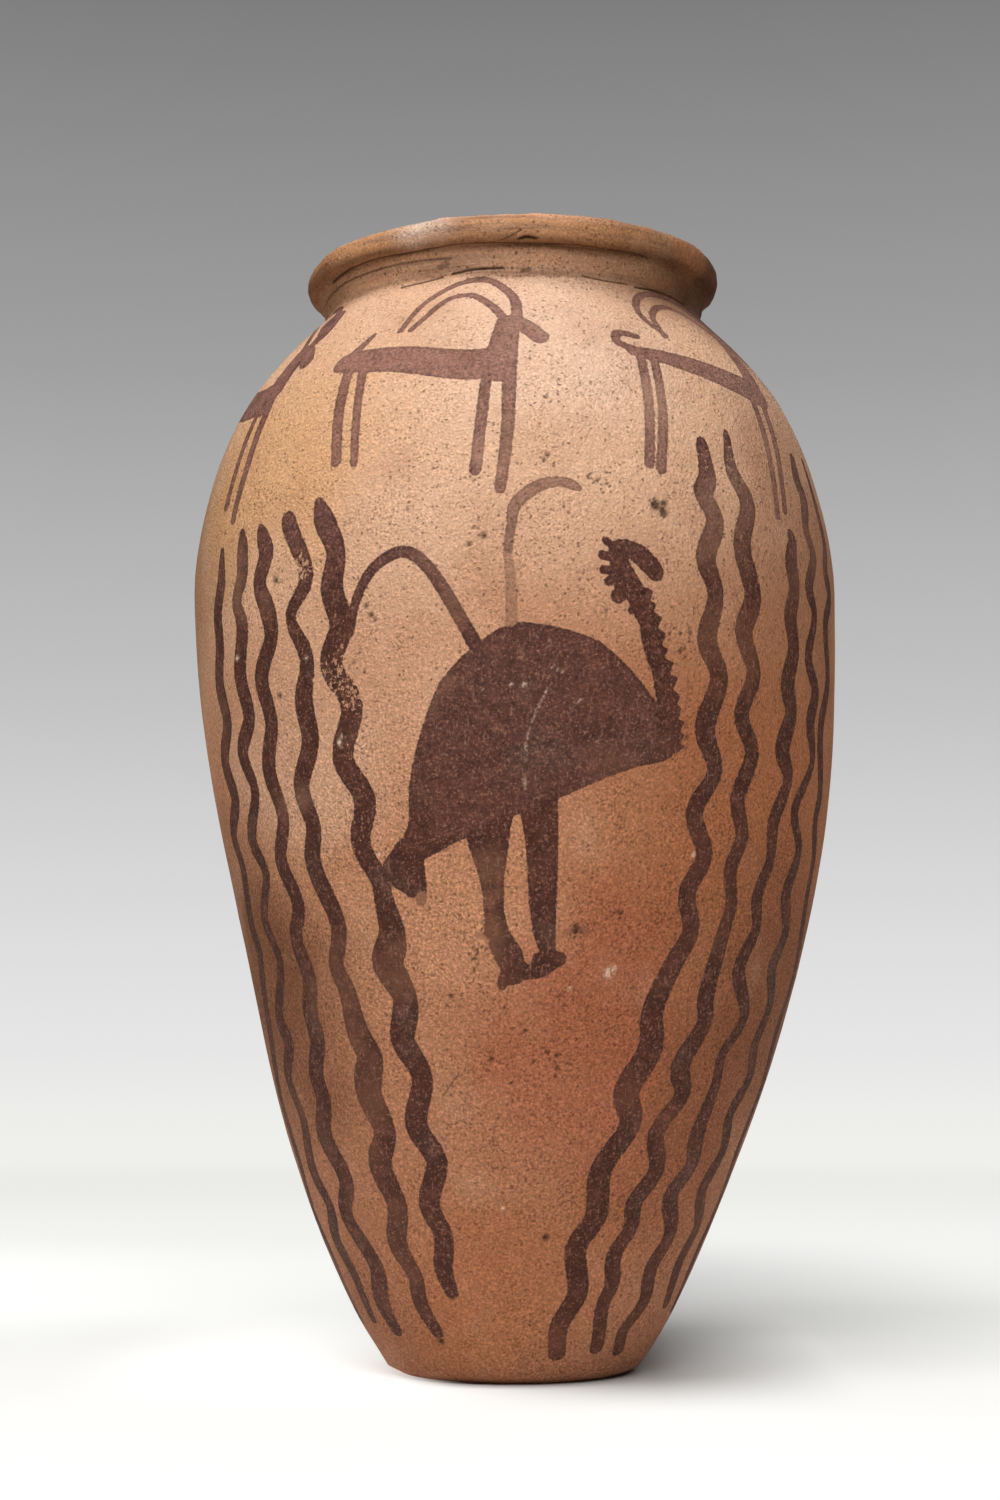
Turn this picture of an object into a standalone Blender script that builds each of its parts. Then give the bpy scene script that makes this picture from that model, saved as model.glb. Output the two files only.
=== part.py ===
"""A tall painted pottery jar, coil built by hand: one hollow body of fired marl clay.

Metres, +Z up. The origin is the middle of the underside, and the painted bird faces -Y.
"""

import math

import bmesh
import bpy

# Heights above the ground and radii of the outside.
HEIGHT = 0.2900
NECK_HEIGHT = 0.0165
NECK_RADIUS = 0.0506
BELLY_HEIGHT = 0.1960
BELLY_RADIUS = 0.0845
FOOT_RADIUS = 0.0312
FOOT_ROUNDING = 0.0022

# The rolled lip, and the groove that its underside leaves on the neck.
LIP_RADIUS = 0.0549
LIP_THICKNESS = 0.0089
LIP_DEPTH = 0.0092
GROOVE_DEPTH = 0.0032
NECK_HOLLOW = 0.0005

# The clay.
WALL = 0.0065
FLOOR = 0.0110
FLOOR_ROUNDING = 0.0120

# What the hand left: the belly sways to +X at mid height, and the lip rises towards +X.
SWAY = 0.0030
SWAY_HEIGHT = 0.1180
SWAY_SPREAD = 0.0550
LIP_RISE_DEG = 1.0

# The wall between foot and belly: share of the way up, share of the gain in radius.
LOWER_WALL_SHARES = (
    (0.03, 0.078),
    (0.09, 0.207),
    (0.20, 0.387),
    (0.35, 0.583),
    (0.52, 0.752),
    (0.70, 0.893),
    (0.86, 0.974),
)
# The shoulder between belly and neck: share of the way up, share of the loss in radius.
SHOULDER_SHARES = ((0.18, 0.018), (0.36, 0.098), (0.53, 0.214), (0.70, 0.400), (0.85, 0.660))

TURN_STEPS = 64
BODY_STEPS = 2
LIP_STEPS = 11
ROUNDING_STEPS = 3
CLAY_COLOUR = (0.55, 0.31, 0.18, 1.0)


def catmull_rom(points, steps):
    """A smooth curve through the points, with this many steps between each pair."""
    first = [2 * a - b for a, b in zip(points[0], points[1])]
    last = [2 * a - b for a, b in zip(points[-1], points[-2])]
    padded = [first, *points, last]
    curve = []
    for a, b, c, d in zip(padded, padded[1:], padded[2:], padded[3:]):
        for k in range(steps):
            t = k / steps
            curve.append(
                tuple(
                    0.5 * (2 * q + (r - p) * t)
                    + 0.5 * (2 * p - 5 * q + 4 * r - s) * t**2
                    + 0.5 * (3 * q - p - 3 * r + s) * t**3
                    for p, q, r, s in zip(a, b, c, d)
                )
            )
    return [*curve, tuple(points[-1])]


def rounded(start, corner, end):
    """The curve that rounds a corner, from just after its start to its end."""
    curve = []
    for k in range(1, ROUNDING_STEPS + 1):
        t = k / ROUNDING_STEPS
        shares = ((1 - t) ** 2, 2 * t * (1 - t), t**2)
        curve.append(tuple(sum(s * p[i] for s, p in zip(shares, (start, corner, end))) for i in (0, 1)))
    return curve


def crease():
    """Where the shoulder meets the neck."""
    return (NECK_RADIUS, HEIGHT - NECK_HEIGHT)


def body_outside(steps):
    """(radius, height) up the outside, from the foot's corner to the crease."""
    neck = crease()
    gain = BELLY_RADIUS - FOOT_RADIUS
    lower = [(FOOT_RADIUS + gain * share, BELLY_HEIGHT * up) for up, share in LOWER_WALL_SHARES]
    rise = neck[1] - BELLY_HEIGHT
    loss = BELLY_RADIUS - neck[0]
    upper = [(BELLY_RADIUS - loss * share, BELLY_HEIGHT + rise * up) for up, share in SHOULDER_SHARES]
    foot = (FOOT_RADIUS, 0.0)
    belly = (BELLY_RADIUS, BELLY_HEIGHT)
    return catmull_rom([foot, *lower, belly, *upper, neck], steps)


def neck_outside():
    """The neck between the crease and the groove under the lip, a little hollow."""
    groove = (LIP_RADIUS - GROOVE_DEPTH, HEIGHT - 0.85 * LIP_DEPTH)
    foot = crease()
    waist = (foot[0] - NECK_HOLLOW, foot[1] + 0.3 * (groove[1] - foot[1]))
    return [waist, groove]


def lip():
    """The rolled lip, from its underside on the outside over the top to its inner side."""
    middle = LIP_RADIUS - LIP_THICKNESS / 2
    height = HEIGHT - LIP_DEPTH / 2
    first, last = math.radians(-40), math.radians(200)
    points = []
    for k in range(LIP_STEPS + 1):
        turn = first + (last - first) * k / LIP_STEPS
        radius = middle + LIP_THICKNESS / 2 * math.cos(turn)
        points.append((radius, height + LIP_DEPTH / 2 * math.sin(turn)))
    return points


def underside(wall_point):
    """The rounded corner under the wall, and the flat underside to its middle."""
    corner = (FOOT_RADIUS, 0.0)
    lean = [b - a for a, b in zip(corner, wall_point)]
    size = math.hypot(*lean)
    start = tuple(a + FOOT_ROUNDING * d / size for a, d in zip(corner, lean))
    end = (FOOT_RADIUS - FOOT_ROUNDING, 0.0)
    return [start, *rounded(start, corner, end), (end[0] / 2, 0.0), (0.0, 0.0)]


def inside():
    """(radius, height) up the inside, from the middle of the floor to the inner neck."""
    outside = body_outside(1)
    wall = []
    for below, here, above in zip(outside, outside[1:], outside[2:]):
        across, up = above[0] - below[0], above[1] - below[1]
        size = math.hypot(across, up)
        wall.append((here[0] - WALL * up / size, here[1] + WALL * across / size))
    wall = [p for p in wall if p[1] > FLOOR + FLOOR_ROUNDING / 2]
    low, above = wall[0], wall[1]
    lean = (above[0] - low[0]) / (above[1] - low[1])
    corner = (low[0] - lean * (low[1] - FLOOR), FLOOR)
    flat = (corner[0] - FLOOR_ROUNDING, FLOOR)
    floor = [(0.0, FLOOR), (flat[0] / 2, FLOOR), flat]
    neck = crease()
    return [*floor, *rounded(flat, corner, low), *wall[1:], (neck[0] - WALL, neck[1])]


def profile():
    """The whole section at +X: up the inside, over the lip and down the outside."""
    body = body_outside(BODY_STEPS)[1:]
    outside = [*reversed(lip()), *reversed(neck_outside()), *reversed(body)]
    return [*inside(), *outside, *underside(body[0])]


def turned(name, points):
    """A mesh object turned from a profile of (radius, height) points round Z."""
    section = bmesh.new()
    corners = [section.verts.new((radius, 0.0, height)) for radius, height in points]
    for a, b in zip(corners, corners[1:]):
        section.edges.new((a, b))
    mesh = bpy.data.meshes.new(name + "_section")
    section.to_mesh(mesh)
    section.free()
    guide = bpy.data.objects.new(name + "_section", mesh)
    bpy.context.scene.collection.objects.link(guide)
    screw = guide.modifiers.new("Turn", "SCREW")
    screw.steps = screw.render_steps = TURN_STEPS
    screw.use_merge_vertices = True
    screw.merge_threshold = 0.00001
    bpy.context.view_layer.update()
    evaluated = guide.evaluated_get(bpy.context.evaluated_depsgraph_get())
    solid = bpy.data.objects.new(name, bpy.data.meshes.new_from_object(evaluated))
    solid.data.name = name
    bpy.data.objects.remove(guide)
    return solid


def sway(height):
    """How far the wall stands towards +X at this height."""
    return SWAY * math.exp(-(((height - SWAY_HEIGHT) / SWAY_SPREAD) ** 2))


def shape_by_hand(mesh):
    """Moves the turned wall off true, as it stands on the real jar. The underside stays flat."""
    rise = math.tan(math.radians(LIP_RISE_DEG))
    for vertex in mesh.vertices:
        x, y, z = vertex.co
        share = min(max((z - HEIGHT + NECK_HEIGHT) / NECK_HEIGHT, 0.0), 1.0)
        eased = share * share * (3 - 2 * share)
        vertex.co = (x + sway(z) - sway(0), y, z + rise * x * eased)


def clay():
    """Fired marl clay, buff to orange."""
    material = bpy.data.materials.new("fired_clay")
    material.use_nodes = True
    shader = material.node_tree.nodes["Principled BSDF"]
    shader.inputs["Base Color"].default_value = CLAY_COLOUR
    shader.inputs["Roughness"].default_value = 0.8
    shader.inputs["Metallic"].default_value = 0.0
    return material


def main():
    for old in list(bpy.data.objects):
        bpy.data.objects.remove(old)
    collection = bpy.data.collections.new("painted_pottery_jar")
    bpy.context.scene.collection.children.link(collection)
    jar = turned("jar", profile())
    shape_by_hand(jar.data)
    jar.data.shade_smooth()
    jar.data.materials.append(clay())
    collection.objects.link(jar)


main()
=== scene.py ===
import math

import bpy
import numpy as np
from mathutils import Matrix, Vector, noise


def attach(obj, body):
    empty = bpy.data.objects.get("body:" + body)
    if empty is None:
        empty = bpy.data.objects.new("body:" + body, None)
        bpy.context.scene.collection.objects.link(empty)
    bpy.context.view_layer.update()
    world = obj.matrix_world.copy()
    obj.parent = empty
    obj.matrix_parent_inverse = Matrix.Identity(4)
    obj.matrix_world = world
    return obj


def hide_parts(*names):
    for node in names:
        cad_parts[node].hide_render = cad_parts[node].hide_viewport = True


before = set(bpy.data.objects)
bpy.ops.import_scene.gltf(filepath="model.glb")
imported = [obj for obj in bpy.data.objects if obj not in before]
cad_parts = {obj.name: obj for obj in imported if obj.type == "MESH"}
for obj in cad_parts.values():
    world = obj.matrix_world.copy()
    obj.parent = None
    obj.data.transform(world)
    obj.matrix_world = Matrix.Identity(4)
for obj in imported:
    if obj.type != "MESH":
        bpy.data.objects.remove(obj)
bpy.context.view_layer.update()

MM = 0.001
columns = np.column_stack

# The jar's sizes, in metres, as in its CAD source.
HEIGHT = 0.2900
NECK_HEIGHT = 0.0165
NECK_RADIUS = 0.0506
BELLY_HEIGHT = 0.1960
BELLY_RADIUS = 0.0845
FOOT_RADIUS = 0.0312
FOOT_ROUNDING = 0.0022
LIP_RADIUS = 0.0549
LIP_THICKNESS = 0.0089
LIP_DEPTH = 0.0092
LIP_ROLL_DEG = (-40, 200)
GROOVE_DEPTH = 0.0032
NECK_HOLLOW = 0.0005
WALL = 0.0065
FLOOR = 0.0110
FLOOR_ROUNDING = 0.0120
SWAY = 0.0030
SWAY_HEIGHT = 0.1180
SWAY_SPREAD = 0.0550
LIP_RISE_DEG = 1.0
LOWER_WALL_SHARES = (
    (0.03, 0.078),
    (0.09, 0.207),
    (0.20, 0.387),
    (0.35, 0.583),
    (0.52, 0.752),
    (0.70, 0.893),
    (0.86, 0.974),
)
SHOULDER_SHARES = ((0.18, 0.018), (0.36, 0.098), (0.53, 0.214), (0.70, 0.400), (0.85, 0.660))

# The fineness of the skin, in metres: the spacing of its rows, and its columns.
COLUMNS = 112
BODY_ROW = 0.0046
LIP_ROW = 0.0015
INSIDE_ROW = 0.0120
FIRST_ROW = 0.0005

# The camera stood 0.69 m in front of the jar, low, and looked a little up.
CAMERA_PLACE = (-0.00347, -0.6946, 0.0824)
CAMERA_PITCH_DEG = 6.42
CAMERA_LENS_MM = 63.45


def new_object(name, data):
    """An object in the scene with this mesh, lamp or camera."""
    made = bpy.data.objects.new(name, data)
    bpy.context.scene.collection.objects.link(made)
    return made


# The section


def catmull_rom(points, steps):
    """A smooth curve through the points, with this many steps between each pair."""
    first = [2 * a - b for a, b in zip(points[0], points[1])]
    last = [2 * a - b for a, b in zip(points[-1], points[-2])]
    padded = np.array([first, *points, last], float)
    curve = []
    for p, q, r, s in zip(padded, padded[1:], padded[2:], padded[3:]):
        for t in np.arange(steps) / steps:
            curve.append(
                q
                + 0.5 * (r - p) * t
                + 0.5 * (2 * p - 5 * q + 4 * r - s) * t**2
                + 0.5 * (3 * q - p - 3 * r + s) * t**3
            )
    return [*curve, padded[-2]]


def rounded(start, corner, end, steps=8):
    """The curve that rounds a corner, from start to end."""
    start, corner, end = (np.array(p, float) for p in (start, corner, end))
    shares = np.linspace(0, 1, steps + 1)
    return [(1 - t) ** 2 * start + 2 * t * (1 - t) * corner + t**2 * end for t in shares]


def body_outside(steps):
    """(radius, height) up the outside, from the foot's corner to the crease under the neck."""
    gain = BELLY_RADIUS - FOOT_RADIUS
    lower = [(FOOT_RADIUS + gain * share, BELLY_HEIGHT * up) for up, share in LOWER_WALL_SHARES]
    neck = (NECK_RADIUS, HEIGHT - NECK_HEIGHT)
    rise = neck[1] - BELLY_HEIGHT
    loss = BELLY_RADIUS - neck[0]
    upper = [(BELLY_RADIUS - loss * share, BELLY_HEIGHT + rise * up) for up, share in SHOULDER_SHARES]
    belly = (BELLY_RADIUS, BELLY_HEIGHT)
    return catmull_rom([(FOOT_RADIUS, 0.0), *lower, belly, *upper, neck], steps)


def neck_and_lip():
    """(radius, height) from above the crease over the groove and the rolled lip to its inside."""
    foot = (NECK_RADIUS, HEIGHT - NECK_HEIGHT)
    groove = (LIP_RADIUS - GROOVE_DEPTH, HEIGHT - 0.85 * LIP_DEPTH)
    waist = (foot[0] - NECK_HOLLOW, foot[1] + 0.3 * (groove[1] - foot[1]))
    neck = catmull_rom([foot, waist, groove], 8)[1:]
    middle = LIP_RADIUS - LIP_THICKNESS / 2
    height = HEIGHT - LIP_DEPTH / 2
    turns = np.radians(np.linspace(*LIP_ROLL_DEG, 49))
    roll = [
        (middle + LIP_THICKNESS / 2 * math.cos(t), height + LIP_DEPTH / 2 * math.sin(t)) for t in turns
    ]
    return [*neck, *roll]


def inside():
    """(radius, height) down the inside, from the inner neck to the middle of the floor."""
    outside = body_outside(4)
    wall = []
    for below, here, above in zip(outside, outside[1:], outside[2:]):
        across, up = above[0] - below[0], above[1] - below[1]
        size = math.hypot(across, up)
        wall.append((here[0] - WALL * up / size, here[1] + WALL * across / size))
    top = HEIGHT - NECK_HEIGHT
    wall = [p for p in wall if FLOOR + FLOOR_ROUNDING / 2 < p[1] < top - WALL]
    low, above = wall[0], wall[1]
    lean = (above[0] - low[0]) / (above[1] - low[1])
    corner = (low[0] - lean * (low[1] - FLOOR), FLOOR)
    flat = (corner[0] - FLOOR_ROUNDING, FLOOR)
    upward = [(0.0, FLOOR), *rounded(flat, corner, low), *wall[1:], (NECK_RADIUS - WALL, top)]
    return upward[::-1]


body = np.array(body_outside(16))
lean = (body[4] - body[0]) / np.hypot(*(body[4] - body[0]))
foot_start = body[0] + FOOT_ROUNDING * lean
foot_end = (FOOT_RADIUS - FOOT_ROUNDING, 0.0)
under = [(0.0, 0.0), *rounded(foot_end, body[0], foot_start)]
wall = [foot_start, *body[body[:, 1] > foot_start[1] + FIRST_ROW]]
lip = neck_and_lip()
SECTION = np.array([*under[:-1], *wall, *lip, *inside()])
RUN = np.concatenate([[0], np.cumsum(np.hypot(*np.diff(SECTION, axis=0).T))])
RUN -= RUN[len(under) - 1]
LIP_START = RUN[len(under) - 1 + len(wall)]
INSIDE_START = RUN[len(under) - 1 + len(wall) + len(lip)]
WALL_RUN = RUN[len(under) - 1 : len(under) - 1 + len(wall)]
WALL_HEIGHT = SECTION[len(under) - 1 : len(under) - 1 + len(wall), 1]


def section(run):
    """(radius, height) of the section this far along it; 0 is at the foot's edge."""
    return np.interp(run, RUN, SECTION[:, 0]), np.interp(run, RUN, SECTION[:, 1])


def run_at(height):
    """How far along the section the outer wall reaches this height."""
    return np.interp(height, WALL_HEIGHT, WALL_RUN)


def sway(height):
    """How far the wall stands towards +X at this height."""
    here = np.exp(-(((height - SWAY_HEIGHT) / SWAY_SPREAD) ** 2))
    return SWAY * (here - math.exp(-((SWAY_HEIGHT / SWAY_SPREAD) ** 2)))


def wrapped(turn):
    """The same turn, from minus half a turn to half a turn."""
    return (turn + math.pi) % (2 * math.pi) - math.pi


# The painting. A place on the jar is its angle in degrees round from the bird, to the right, and
# its height in mm. A figure's own points are in mm across and up the wall from its place.


# Marks further round the jar than this, in radians, are out of the camera's sight. They get two
# passes of splitting where half their width is less than THIN_HALF, and else one.
HIDDEN_FROM = math.radians(92)
THIN_HALF = 0.0022


class Mark:
    """A brush mark: points along a stroke, or round a filled patch, with its looks: tone, from 0
    for brown to 1 for purple, thin for how far the clay shows through, and worn for its flecks."""

    def __init__(self, angle, run, width, filled=False, **looks):
        self.angle = np.asarray(angle, float)
        self.run = np.asarray(run, float)
        self.half = np.broadcast_to(np.asarray(width, float) / 2, self.run.shape)
        self.filled = filled
        self.looks = looks
        hidden = (np.abs(wrapped(self.angle)) > HIDDEN_FROM).all()
        self.fineness = (2 if self.half.max() < THIN_HALF else 1) if hidden else 3


def smooth_values(points, steps):
    """The points as columns, run through by a smooth curve."""
    return np.array(catmull_rom([tuple(p) for p in points], steps)).T


def stroke(place, points, *widths, **looks):
    """A brush stroke through (across, up) points round a figure's place. Its widths in mm are
    spread evenly from its start to its end."""
    across, up = smooth_values(points, 6) if len(points) > 2 else np.array(points, float).T
    return placed(place, across, up, spaced_widths(widths, len(across)), **looks)


def strokes(place, parts, **looks):
    """Several brush strokes round one place: each part has its points, then its widths."""
    return [stroke(place, *part, **looks) for part in parts]


def spaced_widths(widths, count):
    """The widths, spread evenly over this many points."""
    return np.interp(np.linspace(0, 1, count), np.linspace(0, 1, len(widths)), widths)


def placed(place, across, up, widths, **looks):
    """A mark whose points lie across and up the wall, in mm, from a figure's place."""
    degrees, height = place
    start = run_at(height * MM)
    radius = section(start)[0]
    return Mark(math.radians(degrees) + across * MM / radius, start + up * MM, widths * MM, **looks)


def patch(place, points, smooth=False, **looks):
    """A filled patch with (across, up) corners round a figure's place."""
    if smooth:
        points = closed_curve(points)
    across, up = np.array(points, float).T
    return placed(place, across, up, np.zeros(len(across)), filled=True, **looks)


def closed_curve(points, steps=5):
    """A smooth closed curve through the points."""
    ring = [points[-1], *points, points[0], points[1]]
    curve = catmull_rom(ring, steps)
    return curve[steps : -2 * steps]


def wavy_line(bends, turn=0):
    """A wavy line down the jar through its bends' heights, degrees and widths, or its repeat
    further round the jar by a turn in degrees."""
    places = [(run_at(height * MM), math.radians(at), width * MM) for height, at, width in zip(*bends)]
    run, angle, width = smooth_values(places, 4)
    line = Mark(wrapped(angle + math.radians(turn)), run, width)
    line.fineness = min(line.fineness, 2)
    return line


# The ibex's back, tail, hind legs, forelegs, neck, head and two horns.
IBEX = (
    ([(-29.5, 14.5), (-26, 15.3), (-10, 13.8), (5, 10.8), (15, 10.5)], 4.6, 7.4, 8.8, 9.6, 10),
    ([(-26.5, 18), (-22.8, 24.5)], 3.2, 1.6),
    ([(-25.8, 12), (-24.8, 0), (-22.6, -14.3)], 3.2, 3.1),
    ([(-21, 12), (-19.4, 0), (-17.6, -15.4)], 2.8, 2.2),
    ([(13.6, 8), (12.6, -6), (11.6, -19.3)], 2.8, 3),
    ([(19.2, 8), (18.8, -8), (17.1, -24)], 3.6, 2.8),
    ([(16.6, 9), (17.6, 17), (18.6, 25)], 8.5, 6),
    ([(19.5, 25.5), (23.8, 23.6), (27.4, 19.8)], 5.6, 5),
    (
        [
            (21.5, 27), (20.5, 36), (15.8, 42.5), (9.9, 45.8), (0.4, 45), (-6.2, 40.7), (-10.7, 35.3),
            (-13.8, 24.5),
        ],
        2.9, 1.7,
    ),
    (
        [
            (18.5, 25), (15.5, 30), (11.5, 34.5), (6, 38.4), (-0.3, 38), (-4.1, 34.9), (-7.1, 29.7),
            (-10.4, 24.5),
        ],
        2.6, 1.7,
    ),
)
IBEX_HEIGHT = 236.5

# The ibex on the right shoulder, with a curled tail and rounder horns: its tail and back, then the
# rest in the same order.
RIGHT_IBEX = (
    ([(-17.5, 13.5), (-21.8, 15.6), (-20.5, 19.2), (-15, 18.6)], 2.4),
    ([(-18, 12.8), (-9.3, 12), (1.7, 10.5), (14.6, 8.5), (26, 7)], 3.6, 8.6),
    ([(-16.2, 11), (-17.6, -5), (-19.7, -20.2)], 2.8, 2.8),
    ([(-12.3, 11), (-14, -5), (-16.9, -21.4)], 2.6, 2.8),
    ([(21, 7), (19.6, -10), (17.4, -28.5)], 2.8, 2.2),
    ([(26.2, 6), (24, -10), (21, -26.5)], 3, 2.2),
    ([(26, 8), (27.5, 16), (29, 25), (30, 29)], 8, 5.5),
    ([(30, 29), (34, 27), (38, 22)], 5, 3.4),
    (
        [(-3.6, 20.9), (-8.2, 27.5), (-7, 34), (0, 39.8), (10, 42.2), (20.5, 41), (27, 36), (30, 29)],
        1.8, 2.8,
    ),
    ([(-4.4, 20.7), (-3.8, 28.5), (2.5, 34.4), (11, 36.4), (18, 34.5), (24, 30), (28, 26)], 1.8, 2.6),
)
RIGHT_IBEX_PLACE = (38, 240.2)


def bird_body(at):
    """The long-legged bird's body, tail, legs and feet, with two smudges beside them."""
    body = [
        (-30.5, -16.1), (-28.1, -7.3), (-25.5, -0.8), (-21.4, 8), (-16, 14.2), (-10.2, 19), (-4.6, 22.2),
        (0.2, 22.9), (7.7, 21.7), (15.4, 19.4), (19.3, 16.8), (23.5, 13.1), (27.4, 8.7), (30.9, 4.4),
        (34.5, 0), (36.4, -4.6), (35.2, -7), (32.8, -8.8), (23.9, -11), (15.1, -14.5), (6, -18.4),
        (-4.5, -22.4), (-17, -27.6), (-25, -29), (-30, -23),
    ]
    tail = [
        (-30.5, -15.5), (-31.2, -22), (-31.9, -24.9), (-33.6, -27.2), (-35.8, -29), (-37.6, -30.9),
        (-39.7, -33.1), (-39.2, -36.1), (-38.6, -37.9), (-35.9, -39.5), (-33.2, -41.3), (-31.3, -41.5),
        (-28.1, -40.3), (-28.1, -36.9), (-28.2, -32.4), (-26, -31.6), (-22.1, -29.7), (-17.4, -27.5),
        (-22, -16),
    ]
    tail_tip = [(-31.8, -40.2), (-30.9, -43.2), (-29.4, -43.5), (-28.4, -42.8), (-28.1, -38.5)]
    right_leg = [
        (-3.4, -20), (-2.1, -30.5), (-1.6, -42.3), (-0.5, -49.6), (0.6, -52.5), (1.6, -54.7), (-0.1, -55.2),
        (-0.8, -58.3), (-0.5, -61.3), (2.4, -60.9), (4.5, -60), (6.5, -58.5), (8.4, -57.6), (9, -56.9),
        (9, -56), (8.1, -54.8), (6, -54.3), (5.8, -52.5), (5.7, -42.3), (5.9, -32.8), (6, -17),
    ]
    left_leg = [
        (-17.4, -25), (-16.4, -29.7), (-15.1, -33.9), (-13.9, -38.1), (-13.3, -42.2), (-13, -48.2),
        (-13.3, -49.9), (-12.4, -52.1), (-11.4, -54.8), (-10.2, -57), (-8.7, -59.1), (-9.4, -60.5),
        (-9.7, -62.4), (-9.3, -63.8), (-7.8, -63.8), (-6.8, -62.7), (-4.9, -62.5), (-3, -62.2),
        (-2.6, -61.4), (-0.5, -61.3), (-0.8, -58.3), (-2.3, -56.9), (-3, -54.7), (-4.1, -52.9),
        (-5.3, -51.4), (-6.7, -49.6), (-7.3, -47.4), (-7.9, -45.2), (-7.8, -37.5), (-6.6, -30.5),
        (-5.7, -25.3), (-4.6, -20),
    ]
    shapes = [patch(at, shape) for shape in (tail, right_leg, left_leg)]
    smudges = [
        stroke(at, [(-15, -50.5), (-12.5, -51.5), (-10.5, -53)], 1.6, 1, thin=0.55),
        stroke(at, [(8, -50), (11, -49.3), (14, -49.6)], 1.2, 2, thin=0.6),
    ]
    return [patch(at, body, smooth=True, tone=0.18), *shapes, *smudges, patch(at, tail_tip, thin=0.45)]


def bird_neck(at):
    """Its neck, toothed at the back, and the hooked head with its crest."""
    head = [
        (24, 28.4), (22.5, 29.6), (20.6, 31.5), (20.5, 34.3), (19.8, 36.9), (19.4, 39), (19.5, 41.1),
        (20.1, 42.4), (21.6, 43.1), (23.7, 43.4), (25.9, 42.7), (28.2, 42.1), (30.4, 40.2), (32.2, 38.1),
        (33.2, 36.3), (32.9, 34.6), (31.9, 33.7), (30.1, 33.7), (28.9, 34.8), (27.3, 36.2), (26.1, 37.3),
        (24.5, 38.7), (24.2, 38.2), (25.4, 36.4), (26.6, 34.2), (28.2, 32), (30.3, 31.5), (29.9, 30),
    ]
    teeth = [
        (29.6, 29), (31, 28.1), (30.3, 26.4), (32.5, 25.1), (31.3, 22.5), (33.5, 21.4), (32.1, 18.4),
        (33.9, 17.9), (32.8, 15.5), (35.2, 14.6), (34, 11.9), (36.4, 11.1), (35, 8.2), (37.3, 6.8),
        (35.9, 5.1), (37.2, 3.8), (36.5, 1.3), (38.1, 0.7), (37, -1.8), (38.4, -2.3), (36.6, -4.3),
        (38.4, -4.9), (37.5, -6), (35.2, -7), (30, -6), (28, 0),
    ]
    front = [
        (31.2, 3.9), (30.4, 6.7), (29.8, 10.3), (29.3, 12.7), (28.4, 14.6), (27.4, 17.4), (26.8, 20.3),
        (26.5, 23.2), (25.3, 25.1),
    ]
    crest = (
        ([(18.8, 42.8), (20.6, 41.2)], 1.9, 1.6),
        ([(18, 39.2), (19.8, 38.9)], 2.3, 2.2),
        ([(18.2, 35.7), (20.6, 35.6)], 2.2, 2),
        ([(19.4, 33), (20.9, 34.1)], 2.4, 1.8),
        ([(21.6, 29.6), (23.4, 31.2)], 3.8, 3.2),
        ([(24.6, 26.3), (25.6, 26.9)], 1.8, 1.8),
    )
    return [patch(at, [*head, *teeth, *front]), *strokes(at, crest)]


def plumes(at):
    """The two plumes that rise from the bird's back, the front one in a thin wash."""
    low = [(-3.4, 22.6), (-3.2, 29.6), (-3.4, 35.1), (-3.8, 39.1)]
    high = [
        (-3.8, 39.1), (-3.4, 42.7), (-2.8, 46.4), (-2.3, 50.2), (0.3, 53.4), (3.9, 55.8), (7.9, 56.8),
        (11.1, 56.3), (12.9, 55.3),
    ]
    dark = [
        (-10.5, 15), (-15.5, 24.8), (-19.5, 32.2), (-23.4, 37.6), (-27.4, 40.2), (-31.6, 39.5),
        (-36, 36.5), (-38.9, 32.6), (-41, 27.8), (-42.4, 22),
    ]
    return [
        stroke(at, low, 2.9, 2.8, 2.5, 2.1, tone=0.3, thin=0.58),
        stroke(at, high, 2.1, 2.3, 2.5, 3, 3.3, 3.2, 2.7, 2.7, 1.9, tone=0.42, thin=0.24),
        stroke(at, dark, 3.6, 2.3, tone=0.15),
    ]


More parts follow.
